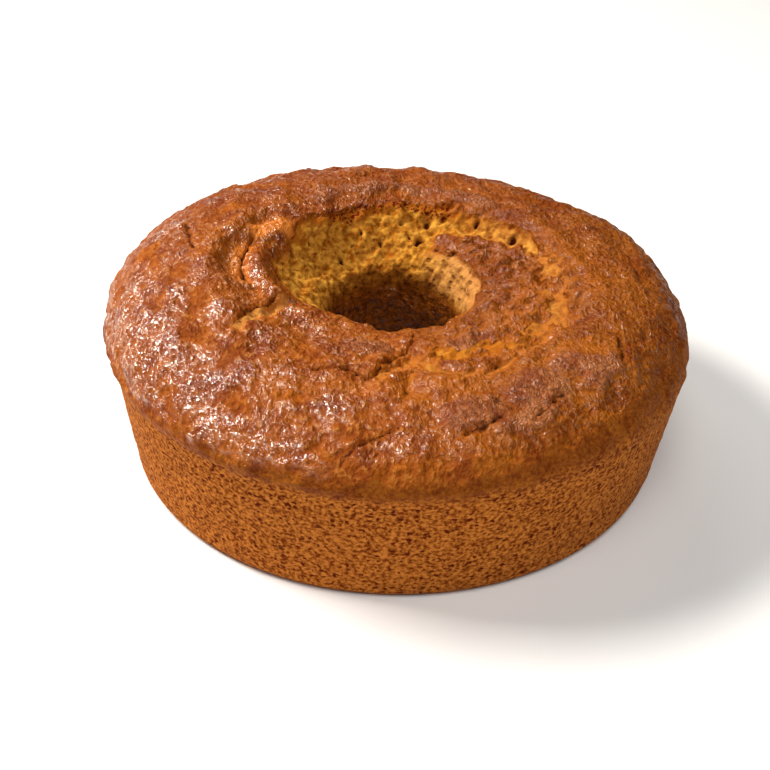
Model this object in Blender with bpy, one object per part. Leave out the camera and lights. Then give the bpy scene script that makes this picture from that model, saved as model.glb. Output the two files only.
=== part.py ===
# Ring pound cake, whole and uncut, as it stands after baking in a plain tube tin.
# One solid, in metres, +Z up, resting on z = 0, with the photographed front towards -Y.
import math
import random

import bpy
from mathutils import Vector

# Driving sizes, in millimetres
MM = 0.001
CRUST_RADIUS = 120.0
BASE_RADIUS = 111.5
HOLE_RADIUS_AT_BASE = 31.0
HOLE_RADIUS_MIDWAY = 29.5
HOLE_MIDWAY_HEIGHT = 25.0
BASE_EDGE_ROUNDING = 2.5
OVERHANG_DEPTH = 6.0

# Form of the top, one value for every 30 degrees: right, back at the fourth, left at the seventh, front at the tenth.
# Each place is its distance from the middle of the hole and its height above the table.
CRUST_EDGE_HEIGHT = (51.6, 53, 54, 55.3, 56.5, 57.5, 57.7, 57, 55.5, 54, 53, 52)
OVERHANG = (0.2, 0.2, 0.3, 0.5, 0.8, 1.0, 1.5, 1.5, 1.2, 0.8, 0.4, 0.2)
PEAK_RADIUS = (82, 77, 72, 69, 67, 68, 75, 77, 76, 78, 82, 86)
PEAK_HEIGHT = (79.5, 80.5, 81, 83, 87, 89, 88, 82.5, 75, 71, 72.5, 76)
TORN_EDGE_RADIUS = (69, 64, 58, 53, 50, 51, 67, 66, 64, 64, 68, 74)
TORN_EDGE_HEIGHT = (78.5, 79, 80, 81, 81, 82, 83.5, 77.5, 72.5, 70.5, 71.5, 74)
VALLEY_RADIUS = (60, 57, 50, 44, 44, 47, 62, 58, 54, 54, 57, 62)
VALLEY_HEIGHT = (73, 71, 71.5, 74, 74, 76, 75, 73, 71, 69.5, 69.5, 70.5)
INNER_CRUST_RADIUS = (52, 49, 41, 38, 39, 43, 53, 48, 42, 42, 46, 50)
INNER_CRUST_HEIGHT = (75, 74, 72.5, 69, 68.5, 71, 77.5, 73, 69, 68, 70, 72.5)
RIM_RADIUS = (35, 34, 33, 33, 34, 38, 43, 38, 31, 30, 32, 34)
RIM_HEIGHT = (71, 71, 68, 64, 64, 65, 69, 68, 66, 65, 66, 68)
HOLE_TOP_RADIUS = (29, 29, 29, 29, 29, 30, 31, 30, 29, 28, 28, 28)
HOLE_TOP_HEIGHT = (57, 58, 59, 60, 60, 60, 60, 57, 56, 56, 56, 56)

# Tears through the crust: half width, depth, and a route of (degrees round, distance from the middle)
TEARS = (
    (6.0, 2.6, ((258, 73), (266, 66), (275, 60), (288, 70), (301, 72), (314, 68))),
    (4.5, 2.2, ((274, 66), (271, 80), (272, 92), (269, 99), (262, 110))),
    (5.0, 2.8, ((218, 80), (212, 67), (204, 55))),
    (3.5, 1.6, ((283, 103), (296, 101), (306, 100))),
)

# Slow swells of the crust and of the side: wave lengths and heights
SWELL_LENGTHS = (64, 47, 33, 24, 18)
SWELL_HEIGHT = 0.28
SIDE_SWELL_HEIGHT = 0.12
SEED = 7

# Mesh steps round the ring, over the dome, and on each stretch from the peak down into the hole
COLUMNS = 120
DOME_STEPS = 10
INWARD_STEPS = (2, 3, 3, 3, 3, 2)
SIDE_STEPS = 5

BODY_NAME = "ring_cake"
CRUST_COLOUR = (0.35, 0.115, 0.018, 1.0)
CRUST_ROUGHNESS = 0.5


def around(values, angle):
    """Value at an angle, on a smooth closed curve through values set at equal steps round the ring."""
    count = len(values)
    place = angle / math.tau * count
    first = math.floor(place)
    share = place - first
    before, here, after, beyond = (values[(first + step) % count] for step in (-1, 0, 1, 2))
    slope = after - before
    bend = 2 * before - 5 * here + 4 * after - beyond
    twist = 3 * (here - after) + beyond - before
    return here + 0.5 * share * (slope + share * (bend + share * twist))


def between(start, end, from_knot, to_knot, knot):
    """Point on the straight line that is at start on one knot and at end on the other."""
    return start.lerp(end, (knot - from_knot) / (to_knot - from_knot))


def smooth_stretch(a, b, c, d, steps):
    """Points from b up to but not including c, on a centripetal curve through all four."""
    t0 = 0.0
    t1 = t0 + math.sqrt((b - a).length)
    t2 = t1 + math.sqrt((c - b).length)
    t3 = t2 + math.sqrt((d - c).length)
    points = []
    for step in range(steps):
        t = t1 + (t2 - t1) * step / steps
        ab = between(a, b, t0, t1, t)
        bc = between(b, c, t1, t2, t)
        cd = between(c, d, t2, t3, t)
        first = between(ab, bc, t0, t2, t)
        second = between(bc, cd, t1, t3, t)
        points.append(between(first, second, t1, t2, t))
    return points


def dome_points(angle):
    """Quarter of an ellipse from the crust's outer edge up to the ring's highest line."""
    edge_height = around(CRUST_EDGE_HEIGHT, angle)
    peak_radius = around(PEAK_RADIUS, angle)
    rise = around(PEAK_HEIGHT, angle) - edge_height
    points = []
    for step in range(DOME_STEPS):
        lift = math.pi / 2 * step / DOME_STEPS
        radius = peak_radius + (CRUST_RADIUS - peak_radius) * math.cos(lift)
        points.append(Vector((radius, edge_height + rise * math.sin(lift))))
    return points


def crater_points(angle, last_dome_point):
    """From the ring's highest line over the torn edge, the valley and the rim, and into the hole."""
    stations = (
        (PEAK_RADIUS, PEAK_HEIGHT),
        (TORN_EDGE_RADIUS, TORN_EDGE_HEIGHT),
        (VALLEY_RADIUS, VALLEY_HEIGHT),
        (INNER_CRUST_RADIUS, INNER_CRUST_HEIGHT),
        (RIM_RADIUS, RIM_HEIGHT),
        (HOLE_TOP_RADIUS, HOLE_TOP_HEIGHT),
    )
    line = [last_dome_point]
    for radii, heights in stations:
        line.append(Vector((around(radii, angle), around(heights, angle))))
    line.append(Vector((HOLE_RADIUS_MIDWAY, HOLE_MIDWAY_HEIGHT)))
    line.append(Vector((HOLE_RADIUS_AT_BASE, 0.0)))
    points = []
    for index, steps in enumerate(INWARD_STEPS):
        points += smooth_stretch(*line[index:index + 4], steps)
    points.append(line[-2])
    return points


def base_points():
    """From the foot of the hole along the flat base to the foot of the side."""
    rounding = BASE_EDGE_ROUNDING
    cut = rounding * (1 - math.sqrt(0.5))
    return [
        Vector((HOLE_RADIUS_AT_BASE - rounding / 3, rounding)),
        Vector((HOLE_RADIUS_AT_BASE + rounding / 2, 0.0)),
        Vector((BASE_RADIUS - rounding, 0.0)),
        Vector((BASE_RADIUS - cut, cut)),
        Vector((BASE_RADIUS, rounding)),
    ]


def side_points(angle):
    """Up the leaning side, which stands back a little under the edge of the crust."""
    edge_height = around(CRUST_EDGE_HEIGHT, angle)
    lean = (CRUST_RADIUS - BASE_RADIUS) / edge_height
    top = edge_height - OVERHANG_DEPTH
    overhang = around(OVERHANG, angle)
    points = []
    for step in range(1, SIDE_STEPS + 1):
        height = BASE_EDGE_ROUNDING + (top - BASE_EDGE_ROUNDING) * step / SIDE_STEPS
        set_back = overhang * step / SIDE_STEPS
        points.append(Vector((BASE_RADIUS + lean * height - set_back, height)))
    points.append(Vector((CRUST_RADIUS - 0.2 * overhang, edge_height - OVERHANG_DEPTH / 3)))
    return points


def cross_section(angle):
    """Closed outline of the ring at an angle, from the crust's outer edge over the top and back along the base."""
    dome = dome_points(angle)
    return dome + crater_points(angle, dome[-1]) + base_points() + side_points(angle)


def distance_to_route(point, route):
    """Shortest distance from a point to a line through the route's places."""
    nearest = math.inf
    for start, end in zip(route, route[1:]):
        along = end - start
        share = max(0.0, min(1.0, (point - start).dot(along) / along.length_squared))
        nearest = min(nearest, (point - start - along * share).length)
    return nearest


def plan_point(degrees, radius):
    angle = math.radians(degrees)
    return Vector((radius * math.cos(angle), radius * math.sin(angle)))


def tear_depth(point, tears):
    """How far the tears cut into the top at a place in plan."""
    depth = 0.0
    for half_width, full_depth, route in tears:
        reach = distance_to_route(point, route) / half_width
        if reach < 1:
            depth = max(depth, full_depth * (1 - reach ** 2) ** 2)
    return depth


def make_swells(rng):
    """Crossing waves, each with a direction, a length and a start drawn from the seed."""
    swells = []
    for length in SWELL_LENGTHS:
        heading = rng.uniform(0, math.tau)
        direction = Vector((math.cos(heading), math.sin(heading))) * math.tau / length
        swells.append((direction, rng.uniform(0, math.tau)))
    return swells


def swell_at(place, swells):
    return sum(math.sin(direction.dot(place) + start) for direction, start in swells)


def shape_ring(mesh):
    """Moves the torus's points, which Blender lists cross-section by cross-section, onto the cake."""
    rows = len(cross_section(0.0))
    dome_rows = range(1, DOME_STEPS + sum(INWARD_STEPS[:4]))
    side_rows = range(rows - SIDE_STEPS, rows)
    swells = make_swells(random.Random(SEED))
    tears = [(width, depth, [plan_point(*stop) for stop in route]) for width, depth, route in TEARS]
    for column in range(COLUMNS):
        angle = math.tau * column / COLUMNS
        for row, section_point in enumerate(cross_section(angle)):
            radius, height = section_point
            if row in dome_rows:
                place = plan_point(math.degrees(angle), radius)
                height += SWELL_HEIGHT * swell_at(place, swells) - tear_depth(place, tears)
            elif row in side_rows:
                radius += SIDE_SWELL_HEIGHT * swell_at(Vector((angle * BASE_RADIUS, height)), swells)
            point = Vector((radius * math.cos(angle), radius * math.sin(angle), height))
            mesh.vertices[column * rows + row].co = point * MM
    mesh.update()


def centre_over_origin(mesh):
    """Slides the body in X and Y until its bounding box is centred on the origin."""
    for axis in (0, 1):
        reach = [vertex.co[axis] for vertex in mesh.vertices]
        offset = (min(reach) + max(reach)) / 2
        for vertex in mesh.vertices:
            vertex.co[axis] -= offset


def crust_material():
    material = bpy.data.materials.new("baked_crust")
    material.use_nodes = True
    shader = material.node_tree.nodes["Principled BSDF"]
    shader.inputs["Base Color"].default_value = CRUST_COLOUR
    shader.inputs["Roughness"].default_value = CRUST_ROUGHNESS
    shader.inputs["Metallic"].default_value = 0.0
    return material


def make_cake():
    """The body starts as a torus with the ring's mesh steps, and its points are then set by the cross-sections."""
    bpy.ops.mesh.primitive_torus_add(
        major_segments=COLUMNS,
        minor_segments=len(cross_section(0.0)),
        major_radius=(CRUST_RADIUS + HOLE_RADIUS_AT_BASE) / 2 * MM,
        minor_radius=(CRUST_RADIUS - HOLE_RADIUS_AT_BASE) / 2 * MM,
    )
    cake = bpy.context.object
    cake.name = BODY_NAME
    cake.data.name = BODY_NAME
    shape_ring(cake.data)
    centre_over_origin(cake.data)
    cake.data.materials.append(crust_material())
    return cake


def clear_scene():
    for thing in list(bpy.data.objects):
        bpy.data.objects.remove(thing)


clear_scene()
make_cake()
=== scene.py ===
# Looks of a whole ring pound cake: browned crust, torn crumb and a side baked against the tin.
import math
import random

import bpy
import numpy as np
from mathutils import Matrix, Vector, noise


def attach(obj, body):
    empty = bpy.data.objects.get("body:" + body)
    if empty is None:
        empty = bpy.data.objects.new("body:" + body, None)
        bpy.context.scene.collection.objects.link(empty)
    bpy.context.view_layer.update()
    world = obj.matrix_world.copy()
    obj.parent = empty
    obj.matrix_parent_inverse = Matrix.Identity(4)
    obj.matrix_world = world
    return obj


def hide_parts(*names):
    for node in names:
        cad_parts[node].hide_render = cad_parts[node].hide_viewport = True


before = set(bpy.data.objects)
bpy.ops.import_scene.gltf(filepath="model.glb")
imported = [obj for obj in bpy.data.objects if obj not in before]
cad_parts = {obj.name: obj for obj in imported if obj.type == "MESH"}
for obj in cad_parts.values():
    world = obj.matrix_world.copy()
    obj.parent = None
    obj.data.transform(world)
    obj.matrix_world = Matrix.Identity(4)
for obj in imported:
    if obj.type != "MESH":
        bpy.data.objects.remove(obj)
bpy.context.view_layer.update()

print("frame loaded")


def toLinear(code):  # from an sRGB hex code to linear channels, with alpha 1
    channels = [int(code[i:i + 2], 16) / 255 for i in (1, 3, 5)]
    return tuple(c / 12.92 if c <= 0.04045 else ((c + 0.055) / 1.055) ** 2.4 for c in channels) + (1.0,)


# The photographed view. Distances in metres, angles in degrees.
view = {
    "aim": (0.0, 0.0, 0.042),  # a point on the axis of the hole
    "elevation": 33.8,
    "lean": 0.8,  # how far the camera is turned about its own axis
    "distance": 0.516,
    "aimRight": 0.0049,  # where the aim point lies from the middle of the picture
    "aimUp": 0.0188,
    "lens": 56.8,  # on a sensor 36 mm wide
}


def setCamera():
    elevation, lean = math.radians(view["elevation"]), math.radians(view["lean"])
    back = Vector((0, -math.cos(elevation), math.sin(elevation)))
    right = Vector((1, 0, 0))
    up = Vector((0, math.sin(elevation), math.cos(elevation)))
    across = math.cos(lean) * right + math.sin(lean) * up
    upward = math.cos(lean) * up - math.sin(lean) * right
    place = Vector(view["aim"]) - view["aimRight"] * across - view["aimUp"] * upward + view["distance"] * back
    bpy.ops.object.camera_add(location=place)
    camera = bpy.context.object
    camera.name = "cakeCamera"
    camera.data.lens = view["lens"]
    camera.rotation_euler = Matrix((across, upward, back)).transposed().to_euler()
    bpy.context.scene.camera = camera


# A pale floor and three soft lamps. Sizes in metres, power in watts, angles in degrees: round from the right
# and up from the floor.
studio = {
    "floorSize": 8.0,
    "floorDrop": 0.0005,  # keeps the floor just under the base
    "floorColour": "#f6f5f2",
    "floorRoughness": 0.9,
    "worldColour": "#ffffff",
    "worldStrength": 0.04,
    "lampAim": (0, 0, 0.05),
    "lamps": (
        {"name": "window", "azimuth": 166, "elevation": 46, "distance": 1.5, "size": (0.64, 0.3),
         "power": 30.0, "colour": "#fffaf4"},
        {"name": "softOverhead", "azimuth": 285, "elevation": 62, "distance": 2.2, "size": (1.8, 1.4),
         "power": 32.0, "colour": "#ffffff"},
        {"name": "skyBehind", "azimuth": 105, "elevation": 38, "distance": 2.0, "size": (1.2, 0.3),
         "power": 9.0, "colour": "#fff9f2"},
    ),
}


def setStudio():
    scene = bpy.context.scene
    scene.view_settings.view_transform = "Standard"  # the colours are matched without a film curve
    world = bpy.data.worlds.new("paleRoom")
    world.use_nodes = True
    sky = world.node_tree.nodes["Background"]
    sky.inputs["Color"].default_value = toLinear(studio["worldColour"])
    sky.inputs["Strength"].default_value = studio["worldStrength"]
    scene.world = world
    bpy.ops.mesh.primitive_plane_add(size=studio["floorSize"], location=(0, 0, -studio["floorDrop"]))
    floor = bpy.context.object
    floor.name = "studioFloor"
    paint = bpy.data.materials.new("paleFloor")
    paint.use_nodes = True
    shader = paint.node_tree.nodes["Principled BSDF"]
    shader.inputs["Base Color"].default_value = toLinear(studio["floorColour"])
    shader.inputs["Roughness"].default_value = studio["floorRoughness"]
    floor.data.materials.append(paint)
    for lamp in studio["lamps"]:
        azimuth, elevation = math.radians(lamp["azimuth"]), math.radians(lamp["elevation"])
        toLamp = Vector((math.cos(azimuth) * math.cos(elevation), math.sin(azimuth) * math.cos(elevation),
                         math.sin(elevation)))
        bpy.ops.object.light_add(type="AREA", location=toLamp * lamp["distance"] + Vector(studio["lampAim"]))
        light = bpy.context.object
        light.name = lamp["name"]
        light.rotation_euler = toLamp.to_track_quat("Z", "Y").to_euler()
        light.data.shape = "RECTANGLE"
        light.data.size, light.data.size_y = lamp["size"]
        light.data.energy = lamp["power"]
        light.data.color = toLinear(lamp["colour"])[:3]


def around(values, angles):  # the value at each angle, on a smooth closed curve through values at equal steps
    values = np.asarray(values, float)
    place = angles / math.tau * len(values)
    first = np.floor(place).astype(int)
    share = place - first
    before, here, after, beyond = (values[(first + step) % len(values)] for step in (-1, 0, 1, 2))
    bend = 2 * before - 5 * here + 4 * after - beyond
    twist = 3 * (here - after) + beyond - before
    return here + 0.5 * share * (after - before + share * (bend + share * twist))


def smoothStep(low, high, value):
    share = np.clip((value - low) / (high - low), 0, 1)
    return share * share * (3 - 2 * share)


def fineNoise(places, size, seed, octaves):  # seeded unevenness of a given size in millimetres, about -1 to 1
    shifted = places.reshape(-1, 3) / size + np.array((7.3, 3.1, 5.7)) * seed
    values = [noise.fractal(place, 1.0, 2.0, octaves) for place in shifted.tolist()]
    return np.array(values).reshape(places.shape[:-1])


def smoothStretch(a, b, c, d, steps):  # points from b up to c, on a centripetal curve through all four
    t0 = np.zeros(len(b))
    t1 = t0 + np.sqrt(np.linalg.norm(b - a, axis=1))
    t2 = t1 + np.sqrt(np.linalg.norm(c - b, axis=1))
    t3 = t2 + np.sqrt(np.linalg.norm(d - c, axis=1))

    def between(start, end, fromKnot, toKnot, knot):
        return start + (end - start) * ((knot - fromKnot) / (toKnot - fromKnot))[:, None]

    points = []
    for step in range(steps):
        t = t1 + (t2 - t1) * step / steps
        ab, bc, cd = between(a, b, t0, t1, t), between(b, c, t1, t2, t), between(c, d, t2, t3, t)
        points.append(between(between(ab, bc, t0, t2, t), between(bc, cd, t1, t3, t), t1, t2, t))
    return points


# The ring's form in millimetres, as in the solid. Twelve values go round it, 30 degrees apart: first the
# right, fourth the back, seventh the left, tenth the front. A line of the form has its radii, then heights.
ring = {
    "columns": 256,
    "crustRadius": 120.0,
    "baseRadius": 111.5,
    "edgeHeight": (51.6, 53, 54, 55.3, 56.5, 57.5, 57.7, 57, 55.5, 54, 53, 52),
    "overhang": (0.2, 0.2, 0.3, 0.5, 0.8, 1.0, 1.5, 1.5, 1.2, 0.8, 0.4, 0.2),
    "overhangDepth": 6.0,
    "peak": (
        (82, 77, 72, 69, 67, 68, 75, 77, 76, 78, 82, 86),
        (79.5, 80.5, 81, 83, 87, 89, 88, 82.5, 75, 71, 72.5, 76),
    ),
    "tornEdge": (
        (71.5, 65, 58, 53, 50, 51, 69, 66, 64, 64, 69, 79),
        (78.5, 79, 80, 81, 81, 82, 81.4, 77.5, 72.5, 70.5, 71.5, 74),
    ),
    "valley": (
        (61.5, 57.5, 50, 44, 44, 47, 61, 58, 54, 54, 57.5, 66),
        (74.8, 73, 72, 74, 74, 76, 79.4, 73, 71, 69.5, 70, 71.8),
    ),
    "innerCrust": (
        (52, 49, 41, 38, 39, 43, 53, 48, 42, 42, 46, 50),
        (75, 74, 72.5, 69, 68.5, 71, 77.5, 73, 69, 68, 70, 72.5),
    ),
    "rim": (
        (35, 34, 33, 33, 34, 38, 43, 38, 31, 30, 32, 34),
        (71, 71, 68, 64, 64, 65, 69, 68, 66, 65, 66, 68),
    ),
    "holeTop": (
        (29, 29, 29, 29, 29, 30, 31, 30, 29, 28, 28, 28),
        (57, 58, 59, 60, 60, 60, 60, 57, 56, 56, 56, 56),
    ),
    "holeMidway": (29.5, 25.0),
    "holeBase": 31.0,
    "baseRounding": 2.5,
    # how far each ragged line strays, and its seed
    "ragged": {"tornEdge": (1.3, 8), "innerCrust": (2.4, 10), "rim": (0.7, 3)},
    "strayLength": 9,  # of its bends, on a circle of this radius
    "strayRadius": 60,
    "domeRows": 26,
    "inwardRows": (7, 7, 6, 7, 7, 5),
    "tubeRows": 3,
    "baseRows": (0.0, 0.04, 0.5, 0.96, 1.0),  # shares of the way from the hole to the foot of the side
    "sideRows": 18,
    "footRows": (0.0, 0.5),  # shares of the rounding at the foot
    "overhangRows": (0.33, 0.67),  # shares of the way up under the edge of the crust
    "swellLengths": (64, 47, 33, 24, 18),
    "swellHeight": 0.28,
    "swellSeed": 7,
}


def stray(angles, seed):  # a closed unevenness round the ring
    circle = np.stack([np.cos(angles), np.sin(angles), np.zeros(len(angles))], 1) * ring["strayRadius"]
    return fineNoise(circle, ring["strayLength"], seed, 2)


def ringSections(angles):  # each row's radius and height at each angle, and its mark
    # a mark tells how far along the form a row lies: -1 at the foot of the side, 0 crust edge, 1 peak,
    # 2 torn edge, 3 valley, 4 inner crust, 5 rim, 6 top of the hole, 7 midway down it and 8 at the base
    edgeHeight, peakRadius, peakHeight = (around(v, angles) for v in (ring["edgeHeight"], *ring["peak"]))
    domeReach, rise = ring["crustRadius"] - peakRadius, peakHeight - edgeHeight
    rounding, foot = ring["baseRounding"], ring["baseRadius"]
    overhang, top = around(ring["overhang"], angles), edgeHeight - ring["overhangDepth"]
    lean = (ring["crustRadius"] - foot) / edgeHeight
    rows, marks = [], []

    def addRow(mark, radius, height):
        rows.append(np.stack(np.broadcast_arrays(radius, height, angles)[:2], 1))
        marks.append(mark)

    def domePoint(share):
        lift = math.pi / 2 * share
        return peakRadius + domeReach * math.cos(lift), edgeHeight + rise * math.sin(lift)

    for share in ring["footRows"]:
        turn = share * math.pi / 2
        addRow(-1.0, foot - rounding * (1 - math.sin(turn)), rounding * (1 - math.cos(turn)))
    for step in range(ring["sideRows"] + 1):
        share = step / ring["sideRows"]
        height = rounding + (top - rounding) * share
        addRow(-1 + 0.9 * share, foot + lean * height - overhang * share, height)
    for share in ring["overhangRows"]:
        down = 1 - share
        radius = ring["crustRadius"] - overhang * down ** 1.5 - lean * ring["overhangDepth"] * down
        addRow(-0.1 * down, radius, top + ring["overhangDepth"] * share)
    for step in range(ring["domeRows"]):
        addRow(step / ring["domeRows"], *domePoint(step / ring["domeRows"]))
    line = [np.stack(domePoint(0.9), 1)]
    for name in ("peak", "tornEdge", "valley", "innerCrust", "rim", "holeTop"):
        radii, heights = (around(values, angles) for values in ring[name])
        if name in ring["ragged"]:
            reach, seed = ring["ragged"][name]
            radii = radii + reach * stray(angles, seed)
        line.append(np.stack([radii, heights], 1))
    line.append(np.tile(ring["holeMidway"], (len(angles), 1)))
    line.append(np.tile((ring["holeBase"], 0.0), (len(angles), 1)))
    for index, steps in enumerate(ring["inwardRows"]):
        for step, points in enumerate(smoothStretch(*line[index:index + 4], steps)):
            addRow(1 + index + step / steps, *points.T)
    for step in range(ring["tubeRows"]):
        share = step / ring["tubeRows"]
        radius, height = (line[-2] + (line[-1] + (-rounding / 3, rounding) - line[-2]) * share).T
        addRow(7 + share, radius, height)
    addRow(8.0, ring["holeBase"] - rounding / 3, rounding)
    for share in ring["baseRows"]:
        inner, outer = ring["holeBase"] + rounding / 2, foot - 2 * rounding
        addRow(8.0, inner + (outer - inner) * share, 0.0)
    return np.stack(rows, 1), np.array(marks)


def placesOf(mesh):  # the mesh's points in millimetres
    flat = np.empty(len(mesh.vertices) * 3)
    mesh.vertices.foreach_get("co", flat)
    return flat.reshape(-1, 3) * 1000


def movePoints(mesh, places):
    mesh.vertices.foreach_set("co", (places / 1000).reshape(-1))
    mesh.update()


def store(mesh, name, values):
    mesh.attributes.new(name, "FLOAT", "POINT").data.foreach_set("value", values.astype(np.float32))


def fetch(mesh, name):
    values = np.empty(len(mesh.vertices), np.float32)
    mesh.attributes[name].data.foreach_get("value", values)
    return values.astype(float)


def applyModifier(piece, kind, **settings):
    modifier = piece.modifiers.new(kind.title(), kind)
    for name, value in settings.items():
        setattr(modifier, name, value)
    bpy.context.view_layer.objects.active = piece
    bpy.ops.object.modifier_apply(modifier=modifier.name)


def layOutRing():  # a torus whose rows are moved onto the cake's cross-sections, then made four times finer
    angles = np.arange(ring["columns"]) * math.tau / ring["columns"]
    section, marks = ringSections(angles)
    bpy.ops.object.select_all(action="DESELECT")
    bpy.ops.mesh.primitive_torus_add(major_segments=len(angles), minor_segments=len(marks),
                                     major_radius=0.075, minor_radius=0.04, generate_uvs=False)
    cake = bpy.context.object
    cake.name = cake.data.name = "ringPoundCake"
    direction = np.stack([np.cos(angles), np.sin(angles)], 1)[:, None]
    places = np.concatenate([direction * section[..., :1], section[..., 1:]], axis=-1)
    movePoints(cake.data, places.reshape(-1, 3))
    step = np.linalg.norm(np.diff(section, axis=1), axis=-1)
    arc = np.concatenate([np.zeros((len(angles), 1)), np.cumsum(step, axis=1)], axis=1)
    edgeRow = int(np.argmin(np.abs(marks)))
    arc -= arc[:, edgeRow:edgeRow + 1]  # millimetres along the surface, from the edge of the crust
    store(cake.data, "mark", np.tile(marks, len(angles)))
    store(cake.data, "arc", arc.reshape(-1))
    applyModifier(cake, "SUBSURF", levels=1, render_levels=1)
    return cake, {"angles": angles, "marks": marks, "arc": arc}


# Where the crust has torn open, and what stands in the tears or runs beside them. A route or a place is given
# in degrees round the ring and millimetres from its middle.
tears = {
    # A torn zone runs from one angle to another, between two marks of the form for each place round the ring.
    "zones": (
        # the valley on the right and in front
        {"degrees": (282, 440), "start": (2.15, 2.15, 2.2, 2.2, 2.2, 2.2, 2.2, 2.2, 2.2, 2.2, 2.2, 2.15),
         "end": (3.4, 3.4, 3.9, 4.6, 4.6, 4, 3.4, 3.4, 3.4, 3.4, 3.4, 3.4)},
        # the crater's wall at the back
        {"degrees": (64, 206), "start": (2, 2, 2, 2, 2, 2.05, 4.15, 4.6, 5, 5, 5, 5), "end": (6.3,) * 12},
        # the mouth of the hole, all round
        {"degrees": (-10, 370), "start": (5.1, 5.1, 4.8, 5, 5, 5, 5, 5, 5, 5, 5, 5.1), "end": (6.3,) * 12},
    ),
    "tearRadius": 45,  # turns an angle past the end of a zone into millimetres
    "plateLift": 0.9,
    # Crust left standing inside the torn zones: half width and route. The first is the lip.
    "islands": (
        {"half": 4.2, "route": ((160, 53.5), (165, 55), (171, 56.5), (180, 57.5), (190, 56.5), (200, 53.5))},
        {"half": 1.3, "route": ((350, 64), (356, 62))},
        {"half": 1.6, "route": ((318, 76), (325, 73))},
    ),
    # Tears across the crust: half width of the open crumb, its dip, how pale the skin beside is, and route.
    "acrossCrust": (
        {"half": 2.6, "dip": 1.8, "pale": 0.2,
         "route": ((264, 72), (269, 65), (275, 58), (281, 65), (288, 72), (296, 75), (304, 73), (312, 72),
                   (320, 72))},
        {"half": 0.8, "dip": 1.2, "pale": 0.0, "route": ((275, 66), (273, 74), (272, 82), (271, 90))},
        {"half": 2.1, "dip": 1.0, "pale": 0.5,
         "route": ((221, 79), (218, 73), (215, 65), (211, 57), (208, 51))},
    ),
    # Thin orange skin behind the lip; its bright orange is partly its own colour and partly painted light.
    "stretchedSkin": {"half": 4.2, "route": ((165, 61), (159, 57.5), (153, 53.5))},
    # Rolled folds of crust that stand proud: half width, height and route.
    "folds": (
        {"half": 5.6, "lift": 2.6,
         "route": ((161, 53), (166, 55.5), (171, 57), (180, 58), (190, 57), (200, 54), (205, 51))},
        {"half": 5.0, "lift": 2.0, "route": ((167, 62), (160, 58), (154, 55))},
        {"half": 2.5, "lift": 0.8, "route": ((222, 83), (219, 77), (216, 69), (213, 61))},
        {"half": 9.0, "lift": 1.2, "route": ((169, 69), (177, 70), (186, 69), (196, 67))},
        {"half": 5.0, "lift": 0.9, "route": ((121, 60), (106, 61), (89, 64), (73, 66), (57, 68))},
    ),
    # Dark narrow cracks: half width, depth and route.
    "clefts": (
        {"half": 0.6, "depth": 1.7,
         "route": ((279, 40), (277, 46), (273, 52), (269, 57), (265, 64), (263, 71), (261, 74), (257, 71),
                   (252, 73), (247, 77))},
        {"half": 0.4, "depth": 1.0, "route": ((270, 99), (266, 103), (263, 108), (260, 114))},
        {"half": 0.35, "depth": 1.2, "route": ((283, 104), (287, 103), (290, 101), (292, 99))},
        {"half": 0.5, "depth": 1.4, "route": ((297, 105), (301, 103), (306, 100))},
        {"half": 0.35, "depth": 1.1, "route": ((293, 90), (292, 93), (295, 98))},
        {"half": 0.35, "depth": 1.0, "route": ((331, 91), (331, 96), (328, 99), (324, 103))},
        {"half": 0.7, "depth": 1.5, "route": ((167, 91), (174, 87), (182, 83))},
        {"half": 0.45, "depth": 1.0, "route": ((218, 77), (214, 70), (211, 64), (208, 58), (205, 53))},
        {"half": 0.6, "depth": 1.8, "route": ((170, 62), (178, 63.5), (186, 64), (196, 62))},
    ),
    # Shallow dents in the skin, without a crack: half width, depth and route.
    "dents": (
        {"half": 3.0, "depth": 1.4, "route": ((222, 115), (226, 117), (229, 118), (231, 119))},
        {"half": 4.5, "depth": 1.2, "route": ((199, 99), (203, 99))},
        {"half": 4.0, "depth": 1.2, "route": ((235, 102), (238, 107))},
        {"half": 4.0, "depth": 0.8, "route": ((244, 95), (249, 93))},
        {"half": 3.5, "depth": 0.9, "route": ((255, 111), (258, 112))},
        {"half": 3.0, "depth": 1.0, "route": ((174, 96), (180, 99), (186, 98))},
        {"half": 4.0, "depth": 0.8, "route": ((150, 72), (158, 78), (165, 82))},
        {"half": 3.5, "depth": 0.9, "route": ((130, 74), (136, 84), (138, 92))},
        {"half": 4.0, "depth": 1.0, "route": ((100, 78), (92, 86), (84, 92))},
        {"half": 4.0, "depth": 0.9, "route": ((48, 84), (40, 90), (34, 98))},
        {"half": 3.5, "depth": 0.8, "route": ((8, 92), (2, 98), (355, 100))},
        {"half": 2.5, "depth": 0.8, "route": ((208, 88), (213, 94), (216, 98))},
    ),
    # Open pockets in the crumb: degrees, radius, how wide and how deep.
    "pockets": (
        (76, 39, 2.6, 3.0), (83, 40, 1.5, 2.0), (75, 49, 1.9, 2.5), (33, 60, 2.4, 3.0), (101, 39, 1.4, 1.8),
        (131, 37, 1.5, 1.8), (68, 52, 1.0, 1.4), (88, 45, 1.0, 1.4), (112, 43, 1.1, 1.5), (272, 79, 1.0, 1.6),
        (52, 56, 1.5, 2.0), (120, 40, 0.9, 1.2), (18, 60, 1.3, 1.6), (357, 66, 1.2, 1.5), (300, 72, 1.2, 1.4),
        (284, 69, 1.0, 1.3), (61, 36, 1.0, 1.2), (45, 34, 0.9, 1.0), (302, 116, 1.0, 1.2),
    ),
    # where the torn edge has caught
    "scorched": ((128, 49), (113, 49), (103, 50), (94, 52), (84, 53), (75, 53), (66, 54)),
}

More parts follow.
